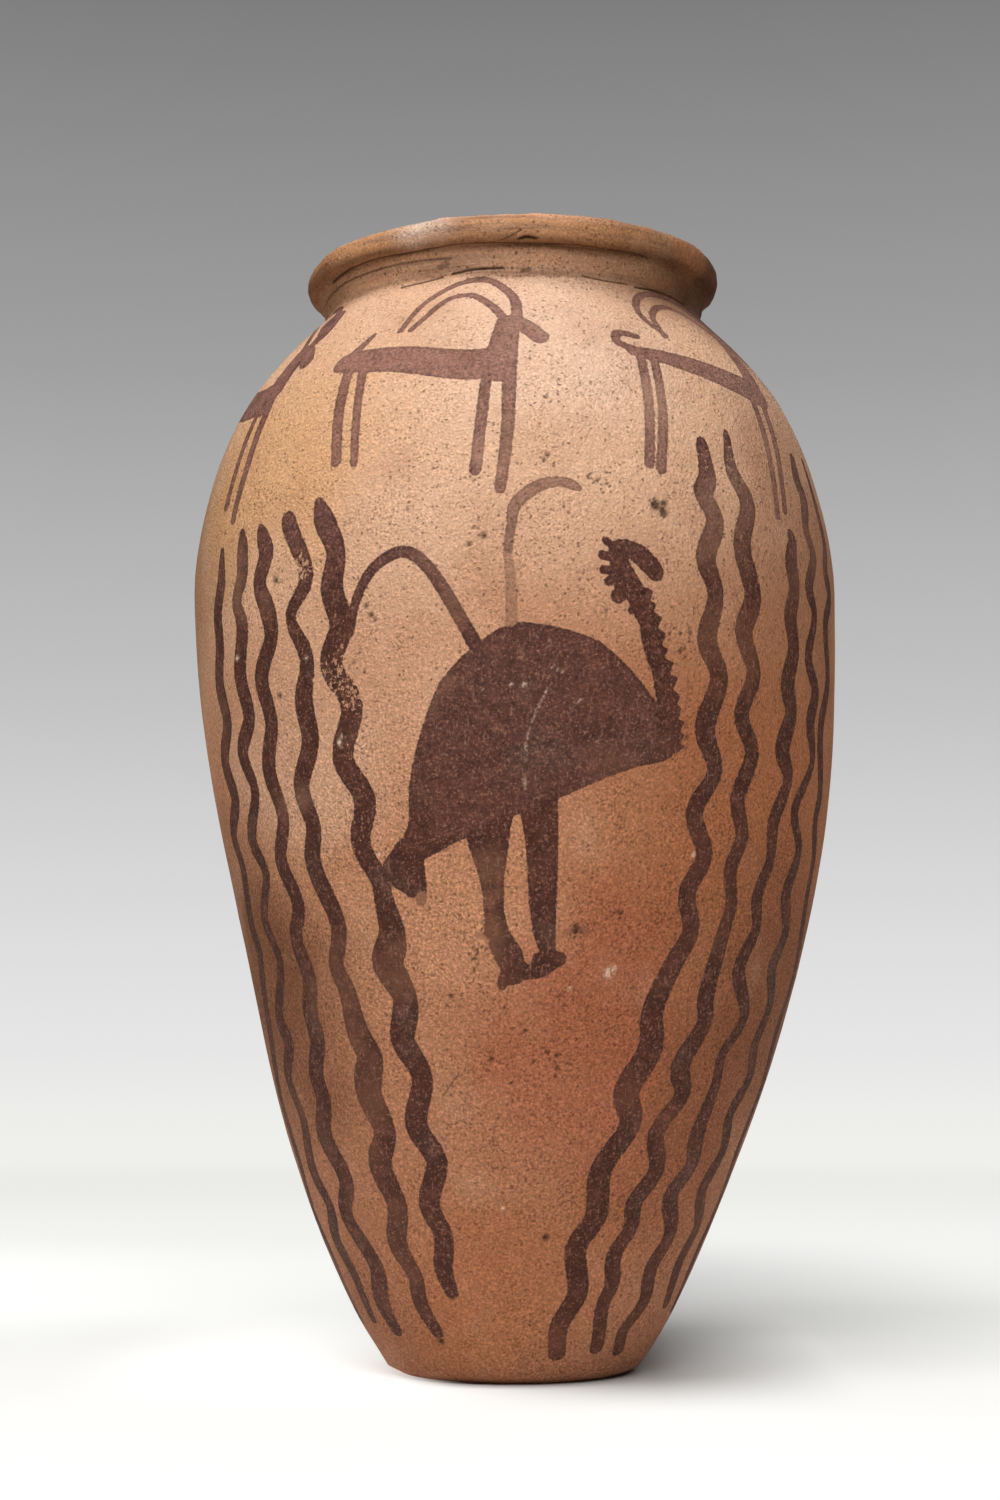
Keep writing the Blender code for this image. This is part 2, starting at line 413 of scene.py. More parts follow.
# The wavy lines from left to right. Each has the heights of its bends in mm, from top to bottom,
# then their degrees, then the stroke's widths there in mm.
WAVY_LINES = (
    (
        (206, 198, 191, 182, 173, 163, 154, 144, 136, 127, 114, 106, 96, 84, 70, 56, 42, 28, 14),
        (-60.5, -60.5, -62.5, -62.5, -64, -62.5, -66.5, -64.5, -69, -67.5, -69.5, -68, -70.5, -72, -75.5,
         -74, -77, -75, -77),
        (2.5, 5, 5.5, 5.5, 6, 5.5, 6, 5.5, 5, 4.5, 5, 5, 4.5, 5, 5, 5, 5, 5, 4),
    ),
    (
        (209, 205, 198, 192, 185, 174, 163, 155, 145, 134, 125, 114, 103, 90, 83, 75, 64, 52, 43, 35, 26,
         15),
        (-53.5, -53, -53, -55, -53.5, -55.5, -54, -58, -55.5, -60, -57, -61.5, -58, -63.5, -61, -65,
         -61.5, -64, -60, -63.5, -60, -60.5),
        (2.5, 5, 5, 4.5, 5.5, 6, 5.5, 5.5, 4, 5, 3.5, 4, 3.5, 5, 5.5, 4.5, 4, 5.5, 4.5, 5.5, 4.5, 3.5),
    ),
    (
        (209, 206, 202, 195, 188, 181, 172, 161, 150, 138, 128, 117, 109, 99, 91, 84, 76, 69, 61, 50, 41,
         29, 20, 13),
        (-48, -47, -46, -48, -46, -45.5, -49, -47.5, -50, -48, -51, -48, -50.5, -48.5, -50, -49, -51.5,
         -50.5, -53, -48.5, -52.5, -46, -49.5, -48),
        (2.5, 5, 5.5, 5, 6, 5, 5.5, 5, 5.5, 4.5, 5, 5, 5, 5.5, 6, 6, 6, 6, 6.5, 5.5, 5.5, 5.5, 6, 4.5),
    ),
    (
        (210, 208, 195, 186, 178, 173, 165, 155, 145, 135, 126, 112, 102, 96, 86, 80, 76, 71, 62, 54, 44,
         35, 27, 20, 13),
        (-41, -40.5, -36.5, -40.5, -38, -37.5, -39, -38.5, -42, -40.5, -42, -38, -40, -38, -36.5, -34,
         -35, -35.5, -32.5, -35.5, -32.5, -35, -31.5, -32, -28.5),
        (3.5, 5, 4.5, 3.5, 4.5, 4.5, 6, 5.5, 5.5, 5, 5.5, 5, 5, 5.5, 7, 7.5, 8.5, 8, 6.5, 7, 6, 6, 4.5,
         4.5, 3.5),
    ),
    (
        (213, 208, 200, 191, 182, 173, 163, 151, 141, 131, 122, 117, 110, 106, 102, 95, 90, 84, 75, 64,
         55, 45, 37, 29, 23),
        (-34.5, -33, -30.5, -31.5, -30, -32.5, -29, -32, -28.5, -30.5, -27.5, -27, -26, -26.5, -27.5,
         -24.5, -24.5, -25.5, -21.5, -24, -19.5, -23, -20, -21.5, -20),
        (2.5, 6, 5.5, 6.5, 6.5, 6.5, 6, 6, 6, 5.5, 5, 5.5, 7, 8.5, 8.5, 6.5, 7, 6.5, 5.5, 6, 5.5, 5.5, 5,
         5, 3.5),
    ),
    (
        (228, 219, 215, 208, 199, 190, 179, 170, 158, 148, 138, 128, 119, 110, 102, 91, 82, 72, 64, 53,
         42, 34, 23, 15, 8),
        (34.5, 34.5, 33, 35, 32.5, 34.5, 32.5, 35, 32, 34.5, 30.5, 33.5, 30.5, 32.5, 29.5, 26.5, 27.5,
         23.5, 26, 20.5, 21.5, 17, 20, 15.5, 16.5),
        (3.5, 5.5, 5.5, 5.5, 6, 5, 6, 5.5, 6, 4.5, 5, 5, 5, 5, 5.5, 6, 7, 7, 6, 6, 6, 5.5, 5.5, 5, 4.5),
    ),
    (
        (232, 222, 214, 203, 191, 182, 172, 162, 153, 142, 133, 125, 117, 109, 95, 88, 78, 71, 62, 53,
         45, 39, 32, 25, 19, 9),
        (41, 40.5, 43, 40.5, 43, 40.5, 43, 40, 43, 40, 42, 40, 41.5, 40.5, 39, 40, 36, 38.5, 33.5, 36.5,
         32, 33, 29.5, 31.5, 30, 33),
        (2, 4.5, 5.5, 6, 6, 6, 5, 5, 5, 5, 4.5, 4.5, 4, 4.5, 5.5, 5, 6, 5, 5, 5, 5, 4.5, 4.5, 4.5, 4, 4),
    ),
    (
        (209, 207, 202, 195, 188, 180, 171, 164, 155, 148, 137, 128, 119, 111, 101, 90, 81, 73, 61, 54,
         46, 37, 28, 20, 13, 8),
        (54.5, 55, 54, 55, 53.5, 54.5, 52.5, 54, 51.5, 54, 50.5, 51, 48.5, 50, 47, 52.5, 48, 48.5, 47,
         48.5, 44, 49, 45.5, 48, 43, 45),
        (3, 4, 6, 5.5, 6, 5.5, 6.5, 5.5, 6.5, 4.5, 5, 4, 4.5, 4, 5, 4, 3.5, 4, 6, 5, 5.5, 5, 5, 4.5, 4, 4),
    ),
    (
        (231, 225, 220, 212, 205, 197, 190, 179, 171, 163, 153, 141, 131, 120, 111, 102, 93, 83, 75, 66,
         57, 47, 38, 29, 19),
        (63, 62, 63, 61, 63, 60.5, 63, 60, 63.5, 61.5, 63.5, 57.5, 61.5, 59, 62.5, 59.5, 63, 60.5, 63,
         58.5, 61.5, 57.5, 63, 60.5, 63.5),
        (3, 5, 5, 4, 4.5, 5, 3.5, 4.5, 5, 5.5, 3.5, 4, 4, 5.5, 4.5, 5, 4, 4.5, 4.5, 4.5, 4.5, 5, 4.5, 5,
         4),
    ),
    (
        (232, 217, 210, 203, 197, 189, 175, 162, 147, 139, 130, 120, 111, 99, 86, 72, 58, 44, 30, 17),
        (70, 71, 71.5, 69.5, 72.5, 69, 71, 67, 70, 68.5, 71.5, 71.5, 74, 76.5, 73.5, 76.5, 74, 76.5, 74,
         76),
        (2.5, 4.5, 4.5, 5, 5, 5, 5, 5, 5, 4.5, 4.5, 4.5, 5, 5, 5, 5, 5, 5, 4.5, 4),
    ),
)

# Where the figures stand, in degrees and height, the neck of the bird at the back, and how far
# round the back's lines are. What the back shows is a guess.
BIRD = (1.3, 158.4)
BACK_BIRD = (181, 158.4)
PLAIN_NECK = [(34, -2), (31, 12), (25, 28), (21, 38), (26, 41), (31, 35)]
IBEX_DEGREES = (-15.1, 98, 146, 193, 241)
LEFT_HEAD = (-54.8, 247.5)
BACK_TURN = 181


def painting():
    """All the brush marks, the pale ones first."""
    marks = [*plumes(BIRD), *bird_body(BIRD), *bird_neck(BIRD), *bird_body(BACK_BIRD)]
    marks.append(stroke(BACK_BIRD, PLAIN_NECK, 6.5, 5, 4.5, 5, 5, 4))
    marks += strokes((-70, IBEX_HEIGHT), IBEX, tone=0.3, thin=0.06)
    for degrees in IBEX_DEGREES:
        marks += strokes((degrees, IBEX_HEIGHT), IBEX, tone=0.52, thin=0.1)
    marks += strokes(RIGHT_IBEX_PLACE, RIGHT_IBEX, tone=0.45, thin=0.1)
    marks.append(stroke(LEFT_HEAD, [(0, 0), (1.5, 14.5), (2.5, 20), (-2, 27)], 4, 4.2, 6, 8, tone=0.3))
    marks += [wavy_line(bends) for bends in WAVY_LINES]
    marks += [wavy_line(bends, BACK_TURN) for bends in WAVY_LINES]
    return marks


# Marks of use


class Scar:
    """A pit, crack or scratch: its mark, how deep it is in mm, and its colouring, from -1 for dark dirt
    with painted shade in the hollow to 1 for pale chalk."""

    def __init__(self, mark, depth, stain_and_shade):
        self.mark = mark
        self.depth = depth * MM
        self.stain_and_shade = stain_and_shade


def pit(degrees, height, size=1, depth=0.5, stain_and_shade=-0.9):
    """A small round pit, or a bit of chalk in the clay. Its size is in mm across."""
    at = run_at(height * MM)
    return Scar(Mark([math.radians(degrees)] * 2, [at, at + 0.01 * MM], size * MM), depth, stain_and_shade)


def crack(points, width, depth, stain_and_shade, from_lip=False):
    """A line through (degrees, height) points. On the neck and lip the second number is instead
    how far in mm it lies above the crease, along the section."""
    points = catmull_rom(points, 5) if len(points) > 2 else points
    angle = [math.radians(p[0]) for p in points]
    run = [LIP_START + p[1] * MM if from_lip else run_at(p[1] * MM) for p in points]
    return Scar(Mark(angle, run, width * MM), depth, stain_and_shade)


PITS = (
    (-5.1, 201.8, 1.4), (-7.5, 199.7, 1.1), (-6.2, 203.4, 0.7), (-18.6, 216.8, 0.9), (-17.8, 209, 0.8),
    (5.6, 236.9, 1), (6.4, 235.8, 0.6), (5.5, 221.8, 1.2), (4.8, 220.4, 1), (6.4, 219.2, 0.8),
    (27.3, 175.8, 1.2), (20.8, 189, 1.2), (22.9, 160.3, 1), (28.6, 155.6, 1), (-14.7, 94.5, 1.1),
    (-6.5, 79.5, 1.2), (-10, 100.5, 0.9), (0.3, 86.3, 1), (-2.1, 74, 0.8), (4.9, 81.3, 1),
    (-1, 66.8, 0.9), (-43.8, 195.1, 1.6), (-25.2, 186.3, 1.2), (-24.4, 184.1, 1.4), (-23.6, 182.9, 0.8),
    (-44.7, 167.1, 1.4), (23.6, 210.4, 2.6), (25.2, 211.2, 1.8), (25, 208.8, 2.2), (-28, 10.6, 1.8),
    (8.2, 36.9, 1.6),
)
# Clusters of small pits: degrees, height and reach in mm, and how many.
CLUSTERS = (
    (24.4, 210.2, 2.4, 16), (8.9, 109.8, 1.8, 12), (-9.7, 104, 2.6, 16), (14.5, 216, 3.5, 10),
    (27, 180, 5, 9), (5, 80, 6, 8), (-28, 170, 9, 12), (16.8, 114, 1.6, 6),
)
CHALK_BITS = (
    (16.1, 99.9, 2.4), (16.9, 101, 1.5), (8.5, 96.1, 0.9), (-56, 178.2, 1.6), (-32.1, 154.5, 1.7),
    (-31.7, 156, 0.8), (-37.4, 175.3, 1), (-1.5, 166.7, 0.8), (0.5, 166.6, 1.1), (-3.6, 44, 1),
    (31, 128, 1), (-27, 128, 0.9),
)
# Cracks on the neck and lip, then on the wall: points, width and depth in mm, and colouring, dark for dirt
# with painted shade and pale for chalk.
LIP_CRACKS = (
    ([(-34, 0.2), (-27, 0.5), (-21, 1.3)], 0.45, 0.35, -0.8),
    ([(-18, 1.9), (-11, 2.6), (-3, 2.7)], 0.55, 0.4, -0.9),
    ([(20, 1.5), (27, 0.9), (35, 1.1)], 0.4, 0.3, -0.8),
    ([(38, 0.7), (48, 1.2), (62, 0.6)], 0.55, 0.45, -0.95),
    ([(118, 0.8), (131, 1.6), (142, 0.9)], 0.45, 0.35, -0.7),
    ([(-172, 1.2), (-150, 0.8), (-136, 1.5)], 0.45, 0.35, -0.7),
    ([(1.4, 11), (3.4, 11.6), (5.8, 11.2)], 0.8, 0.7, -1),
    ([(-6.7, 9.8), (-2.3, 11.2), (1.8, 13.3)], 0.35, 0.25, -0.7),
    ([(-66, 8.2), (-48, 9.3), (-30, 8.9), (-12, 9.4), (6, 9), (22, 9.3), (40, 9)], 0.75, 0.35, -0.85),
    ([(-78, 5.2), (-62, 6), (-44, 6.4), (-28, 6.3), (-18, 5.8)], 0.6, 0.2, -0.6),
    ([(100, 9.2), (150, 8.9), (200, 9.3), (250, 9)], 0.45, 0.3, -0.7),
    ([(-21.5, 4), (-19.5, 4.6)], 1.7, 0.06, -0.5),
    ([(2.5, 2), (4.5, 2.4)], 1.2, 0.08, -0.6),
)
WALL_CRACKS = (
    ([(-13.5, 76.1), (-17.1, 70.9)], 0.35, 0.15, -0.7),
    ([(5.1, 167.5), (2.3, 160.3), (0.6, 153.6), (0, 142.3)], 0.34, 0.08, 0.5),
    ([(4.2, 171.4), (7.1, 169.4)], 0.32, 0.06, 0.45),
    ([(7.9, 160.4), (9.7, 163.4)], 0.3, 0.06, 0.4),
)
SCATTERED_PITS = 100


def scars():
    """The pits, chalk bits, cracks and scratches that show, and small pits all over the jar."""
    made = [pit(*place) for place in PITS]
    made += [pit(degrees, height, size, 0.15, 0.9) for degrees, height, size in CHALK_BITS]
    for draw in np.random.RandomState(11).rand(SCATTERED_PITS, 3):
        made.append(pit(draw[0] * 360, 6 + 262 * draw[1] ** 0.8, 0.45 + 0.6 * draw[2] ** 3, 0.35, -0.85))
    random = np.random.RandomState(7)
    for degrees, height, reach, count in CLUSTERS:
        for turn, rise, size in random.randn(count, 3):
            place = (degrees + 0.35 * reach * turn, height + 0.5 * reach * rise)
            made.append(pit(*place, 0.5 + 0.2 * abs(size), 0.2, -1))
    made += [crack(*row, from_lip=True) for row in LIP_CRACKS]
    return made + [crack(*row) for row in WALL_CRACKS]


def scar_distance(scars, angle, run):
    """How far each point is from the nearest scar, in metres."""
    radius = section(run)[0]
    distance = np.full(len(run), REACH)
    for scar in scars:
        near = near_mark(scar.mark, angle, run, radius)
        if len(near):
            found = mark_distance(scar.mark, angle[near], run[near], radius[near])
            distance[near] = np.minimum(distance[near], found)
    return distance


def scarred(scars, angle, run):
    """How deep each point lies in a scar, in metres, and its colouring, which follows the depth: dark for
    dirt with painted shade, pale for chalk.
    """
    radius = section(run)[0]
    dent, stain_and_shade = np.zeros(len(run)), np.zeros(len(run))
    for scar in scars:
        near = near_mark(scar.mark, angle, run, radius)
        if len(near) == 0:
            continue
        found = mark_distance(scar.mark, angle[near], run[near], radius[near])
        half = scar.mark.half.max()
        share = np.clip((0.55 * half - found) / (1.1 * half), 0, 1)
        share = share * share * (3 - 2 * share)
        dent[near] = np.maximum(dent[near], scar.depth * share)
        stronger = np.abs(scar.stain_and_shade) * share > np.abs(stain_and_shade[near])
        stain_and_shade[near[stronger]] = scar.stain_and_shade * share[stronger]
    return dent, stain_and_shade


# Where the paint is flecked: degrees, height and radius in mm, and how much.
WORN_PLACES = (
    (-29.3, 169, 17, 0.85), (-29.5, 133, 12, 0.6), (34, 224, 11, 0.55), (41.5, 224, 13, 0.6),
    (-38, 197, 7, 1), (-29, 152, 9, 0.6), (-30.5, 186, 9, 0.45),
    (-4, 170, 12, 0.35), (0, 150, 16, 0.25), (30, 185, 20, 0.2), (-38, 160, 14, 0.3),
)


def spread(places, angle, run):
    """The strongest of some soft round places at each point."""
    radius = section(run)[0]
    most = np.zeros(len(run))
    for degrees, height, reach, amount in places:
        across = wrapped(angle - math.radians(degrees)) * radius
        away = np.hypot(across, run - run_at(height * MM)) / (reach * MM)
        share = np.clip(1.3 * (1 - away), 0, 1)
        most = np.maximum(most, amount * share * share * (3 - 2 * share))
    return most


# The skin: a flat sheet of angle and run, made finer where paint edges and marks of use are.


def base_sheet():
    """(faces, angle, run) of the whole closed surface, in even rows and columns."""
    levels = [
        *np.linspace(RUN[0], 0, 9)[1:-1],
        *np.linspace(0, LIP_START, round(LIP_START / BODY_ROW) + 1)[:-1],
        *np.linspace(LIP_START, INSIDE_START, round((INSIDE_START - LIP_START) / LIP_ROW) + 1)[:-1],
        *np.linspace(INSIDE_START, RUN[-1], round((RUN[-1] - INSIDE_START) / INSIDE_ROW) + 1)[:-1],
    ]
    turns = wrapped(np.arange(COLUMNS) * 2 * math.pi / COLUMNS)
    angle = np.tile(turns, len(levels))
    run = np.repeat(levels, COLUMNS)
    corner = np.arange(len(levels) * COLUMNS).reshape(len(levels), COLUMNS)
    beside = np.roll(corner, -1, axis=1)
    a, b, c, d = corner[:-1], beside[:-1], beside[1:], corner[1:]
    faces = np.concatenate([np.stack(t, -1).reshape(-1, 3) for t in ((a, b, c), (a, c, d))])
    first, last = len(angle), len(angle) + 1
    caps = [
        columns([beside[0], corner[0], np.full(COLUMNS, first)]),
        columns([corner[-1], beside[-1], np.full(COLUMNS, last)]),
    ]
    return np.concatenate([faces, *caps]), np.append(angle, [0, 0]), np.append(run, [RUN[0], RUN[-1]])


def refined(faces, angle, run, wanted):
    """Splits each wanted triangle in four, and its neighbours so that no gap opens."""
    edges = np.sort(np.concatenate([faces[:, [0, 1]], faces[:, [1, 2]], faces[:, [2, 0]]]), axis=1)
    unique, index = np.unique(edges, axis=0, return_inverse=True)
    index = index.reshape(3, -1).T
    split = np.zeros(len(unique), bool)
    split[index[wanted].ravel()] = True
    middle = np.full(len(unique), -1)
    middle[split] = len(angle) + np.arange(split.sum())
    a, b = unique[split].T
    angle = np.append(angle, wrapped(angle[a] + wrapped(angle[b] - angle[a]) / 2))
    run = np.append(run, (run[a] + run[b]) / 2)
    halves = middle[index]
    count = (halves >= 0).sum(1)
    f, h = faces[count == 3], halves[count == 3]
    made = [
        faces[count == 0],
        columns([f[:, 0], h[:, 0], h[:, 2]]),
        columns([h[:, 0], f[:, 1], h[:, 1]]),
        columns([h[:, 2], h[:, 1], f[:, 2]]),
        h,
    ]
    for k in range(3):
        f, h = np.roll(faces, -k, axis=1), np.roll(halves, -k, axis=1)
        one = (count == 1) & (h[:, 0] >= 0)
        two = (count == 2) & (h[:, 0] < 0)
        made += [
            columns([h[one, 0], f[one, 1], f[one, 2]]),
            columns([f[one, 0], h[one, 0], f[one, 2]]),
            columns([h[two, 2], h[two, 1], f[two, 2]]),
            columns([f[two, 0], f[two, 1], h[two, 1]]),
            columns([f[two, 0], h[two, 1], h[two, 2]]),
        ]
    return np.concatenate(made), angle, run


def mark_distance(mark, angle, run, radius):
    """Distance in metres from each point to a mark's edge, negative inside the mark."""
    x = wrapped(mark.angle - angle[:, None]) * radius[:, None]
    y = mark.run - run[:, None]
    if mark.filled:
        x = columns([x, x[:, 0]])
        y = columns([y, y[:, 0]])
    ax, ay, bx, by = x[:, :-1], y[:, :-1], x[:, 1:], y[:, 1:]
    dx, dy = bx - ax, by - ay
    along = np.clip(-(ax * dx + ay * dy) / np.maximum(dx**2 + dy**2, 1e-14), 0, 1)
    distance = np.hypot(ax + along * dx, ay + along * dy)
    if not mark.filled:
        half = mark.half[:-1] + along * np.diff(mark.half)
        return (distance - half).min(1)
    crosses = (ay > 0) != (by > 0)
    where = ax - ay * dx / np.where(dy == 0, 1e-14, dy)
    within = (crosses & (where > 0)).sum(1) % 2 == 1
    return np.where(within, -1, 1) * distance.min(1)


REACH = 0.004
LOOKS = ("tone", "thin", "worn")


def near_mark(mark, angle, run, radius):
    """The numbers of the points that may lie within reach of a mark."""
    widest = mark.half.max() + REACH
    middle = (mark.angle.max() + mark.angle.min()) / 2
    spread = (mark.angle.max() - mark.angle.min()) / 2
    near = np.abs(wrapped(angle - middle)) * radius < spread * radius + widest
    near &= (run > mark.run.min() - widest) & (run < mark.run.max() + widest)
    return np.flatnonzero(near)


def painted(marks, angle, run):
    """Signed distance to the paint's edge, and the looks of the nearest mark."""
    radius = section(run)[0]
    distance = np.full(len(run), REACH)
    looks = {name: np.zeros(len(run)) for name in LOOKS}
    for mark in marks:
        near = near_mark(mark, angle, run, radius)
        if len(near) == 0:
            continue
        found = mark_distance(mark, angle[near], run[near], radius[near])
        closer = found < distance[near]
        distance[near[closer]] = found[closer]
        for name in LOOKS:
            looks[name][near[closer]] = mark.looks.get(name, 0)
    return distance, looks


def edge_length(faces, angle, run):
    """The longest side of each triangle, in metres."""
    radius = section(run)[0]
    longest = np.zeros(len(faces))
    for a, b in ((0, 1), (1, 2), (2, 0)):
        p, q = faces[:, a], faces[:, b]
        across = wrapped(angle[p] - angle[q]) * (radius[p] + radius[q]) / 2
        longest = np.maximum(longest, np.hypot(across, run[p] - run[q]))
    return longest


# How near the paint's edge or a scar each pass makes the sheet finer, in metres, and the longest
# sides that may stay there and on the lip.
PAINT_BANDS = (0.0024, 0.001, 0.00045)
SCAR_BANDS = (0.002, 0.0009, 0.0004)
PAINT_SIDE = 0.0008
SCAR_SIDE = 0.0005
LIP_SIDE = 0.0015
# The refined part starts this far above the foot, and the lip's part this far below the crease.
FOOT_MARGIN = 0.002
LIP_MARGIN = 0.003


def fine_sheet(marks, scars):
    """The sheet, split where the paint's edge or a scar passes, and once all over the lip. Each
    mark takes part in as many passes as its fineness says."""
    faces, angle, run = base_sheet()
    for level in range(3):
        longest = edge_length(faces, angle, run)
        drawn = [mark for mark in marks if mark.fineness > level]
        nearest = np.abs(painted(drawn, angle, run)[0][faces]).min(1)
        wanted = (nearest < PAINT_BANDS[level]) & (longest > PAINT_SIDE)
        cut = [scar for scar in scars if scar.mark.fineness > level]
        nearest = scar_distance(cut, angle, run)[faces].min(1)
        wanted |= (nearest < SCAR_BANDS[level]) & (longest > SCAR_SIDE)
        outside = (run[faces] < INSIDE_START).all(1)
        lip = (run[faces] > LIP_START - LIP_MARGIN).all(1) & outside
        wanted |= lip & (longest > LIP_SIDE) & (level == 0)
        wanted &= (run[faces] > FOOT_MARGIN).all(1) & outside
        faces, angle, run = refined(faces, angle, run, wanted)
    return faces, angle, run


# Lumps and notches of the lip: degrees, mm above the crease, reach and height in mm.
LUMPS = (
    (84, 11, 7, 0.2), (88, 7, 4, -0.2), (86, 4.2, 3.2, 0.3), (-62, 14, 9, 0.35),
    (-20, 15.5, 7, 0.3), (35, 15, 9, -0.3), (150, 13, 9, 0.4), (-130, 12, 10, -0.35),
)


# The hand's unevenness all over, and the lip's rougher skin: waves a metre, and height in metres.
UNEVEN = ((18, 0.00035), (70, 0.0001), (260, 0.00003))
LIP_ROUGHNESS = ((110, 0.00026), (330, 0.00018))
LIP_ROUGH_RUN = 0.006
# The skin lies on the solid up to this far above the foot.
FLAT_RUN = 0.001
SLOPE_STEP = 0.0004


def relief(run, radius, height, angle):
    """How far the clay stands proud of the smooth section, in metres: broad unevenness from the
    hand, small lumps and, on the lip, a rougher skin."""
    x, y = radius * np.sin(angle), -radius * np.cos(angle)
    rough = np.clip((run - LIP_START) / LIP_ROUGH_RUN, 0, 1)
    out = np.empty(len(run))
    for k, place in enumerate(zip(x, y, height)):
        p = Vector(place)
        out[k] = sum(size * noise.noise(p * scale) for scale, size in UNEVEN)
        if rough[k] > 0:
            out[k] += rough[k] * sum(size * noise.noise(p * scale) for scale, size in LIP_ROUGHNESS)
    for degrees, up, reach, amount in LUMPS:
        across = wrapped(angle - math.radians(degrees)) * LIP_RADIUS
        away = np.hypot(across, run - LIP_START - up * MM) / (reach * MM)
        out += amount * MM * np.clip(1 - away**2, 0, 1) ** 2
    return out


def jar_mesh(marks, scars):
    faces, angle, run = fine_sheet(marks, scars)
    radius, height = section(run)
    ahead, behind = section(run + SLOPE_STEP), section(run - SLOPE_STEP)
    along = np.stack([ahead[0] - behind[0], ahead[1] - behind[1]])
    along /= np.maximum(np.hypot(*along), 1e-9)
    dent, stain_and_shade = scarred(scars, angle, run)
    proud = relief(run, radius, height, angle) - dent
    proud[(run < FLAT_RUN) | (run > INSIDE_START)] = 0
    out = radius + proud * along[1]
    up = height - proud * along[0]
    x = out * np.sin(angle)
    share = np.clip((up - HEIGHT + NECK_HEIGHT) / NECK_HEIGHT, 0, 1)
    rise = math.tan(math.radians(LIP_RISE_DEG)) * x * share * share * (3 - 2 * share)
    places = columns([x + sway(up), -out * np.cos(angle), up + rise])
    mesh = bpy.data.meshes.new("jar_skin")
    mesh.from_pydata(places.tolist(), [], faces.tolist())
    mesh.shade_smooth()
    distance, looks = painted(marks, angle, run)
    looks["worn"] = np.maximum(looks["worn"], spread(WORN_PLACES, angle, run))
    values = {"paint": distance / MM, "stain_and_shade": stain_and_shade, "inside": run > INSIDE_START, **looks}
    for name, numbers in values.items():
        layer = mesh.attributes.new(name, "FLOAT", "POINT")
        layer.data.foreach_set("value", numbers.astype(np.float32))
    return mesh


# Materials


class Nodes:
    """A short way to write a material's node tree."""

    def __init__(self, name):
        self.material = bpy.data.materials.new(name)
        self.material.use_nodes = True
        self.tree = self.material.node_tree
        self.shader = self.tree.nodes["Principled BSDF"]

    def put(self, socket, value):
        if isinstance(value, bpy.types.NodeSocket):
            self.tree.links.new(value, socket)
        else:
            socket.default_value = value

    def add(self, kind, settings=None, **inputs):
        node = self.tree.nodes.new("ShaderNode" + kind)
        for key, value in (settings or {}).items():
            setattr(node, key, value)
        for key, value in inputs.items():
            self.put(node.inputs[key.replace("_", " ")], value)
        return node

    def attribute(self, name):
        return self.add("Attribute", {"attribute_name": name}).outputs["Fac"]

    def math(self, operation, a, b=0, clamp=False):
        node = self.add("Math", {"operation": operation, "use_clamp": clamp})
        self.put(node.inputs[0], a)
        self.put(node.inputs[1], b)
        return node.outputs[0]

    def times(self, a, b, clamp=False):
        return self.math("MULTIPLY", a, b, clamp)

    def plus(self, a, b):
        return self.math("ADD", a, b)

    def minus(self, a, b):
        return self.math("SUBTRACT", a, b)

    def swing(self, value, amount):
        """A value from 0 to 1 turned into one that swings round 0 by half the amount."""
        return self.times(self.minus(value, 0.5), amount)

    def vector(self, operation, a, b):
        node = self.add("VectorMath", {"operation": operation})
        self.put(node.inputs[0], a)
        self.put(node.inputs[1], b)
        return node.outputs["Value" if operation == "DISTANCE" else "Vector"]

    def noise(self, place, scale, detail=2, roughness=0.5):
        node = self.add("TexNoise", Vector=place, Scale=scale, Detail=detail, Roughness=roughness)
        return node.outputs["Fac"]

    def speckles(self, place, scale):
        node = self.add("TexVoronoi", Vector=place, Scale=scale)
        return node.outputs["Distance"], node.outputs["Color"]

    def range(self, value, low, high, start=0, end=1, smooth=True):
        settings = {"interpolation_type": "SMOOTHSTEP" if smooth else "LINEAR"}
        node = self.add("MapRange", settings)
        for socket, number in zip(node.inputs, (value, low, high, start, end)):
            self.put(socket, number)
        return node.outputs["Result"]

    def mix(self, share, a, b, blend="MIX"):
        node = self.add("Mix", {"data_type": "RGBA", "blend_type": blend})
        self.put(node.inputs["Factor"], share)
        self.put(node.inputs["A"], a)
        self.put(node.inputs["B"], b)
        return node.outputs["Result"]


BUFF = (0.66, 0.395, 0.25, 1)
TAN = (0.48, 0.222, 0.116, 1)
RED_CLAY = (0.35, 0.138, 0.069, 1)
LIP_CLAY = (0.37, 0.15, 0.042, 1)
# The lip's pale top: partly worn clay, partly a painted highlight.
RIM_CLAY_AND_HIGHLIGHT = (0.66, 0.34, 0.19, 1)
# Brown patina on the lip, also used as painted shade in the groove under it.
PATINA_AND_SHADE = (0.2, 0.08, 0.028, 1)
INSIDE_CLAY = (0.3, 0.125, 0.06, 1)
# Dark dirt in pits and cracks, with painted shade in them.
GRIT_AND_SHADE = (0.04, 0.016, 0.008, 1)
# Painted shade in the pores.
PORE_SHADE = (0.135, 0.055, 0.026, 1)
CHALK = (0.82, 0.6, 0.44, 1)
PAINT = (0.07, 0.022, 0.012, 1)
PAINT_EDGE = (0.052, 0.018, 0.012, 1)
RED_PAINT = (0.128, 0.04, 0.024, 1)
GREY_PAINT = (0.112, 0.058, 0.041, 1)
FLECK = (0.32, 0.155, 0.105, 1)
DARKER = (0.46, 0.38, 0.34, 1)
LIGHTER = (1.28, 1.26, 1.24, 1)
PURPLE_PAINT = (0.27, 0.12, 0.096, 1)
DAUB = (0.18, 0.07, 0.048, 1)

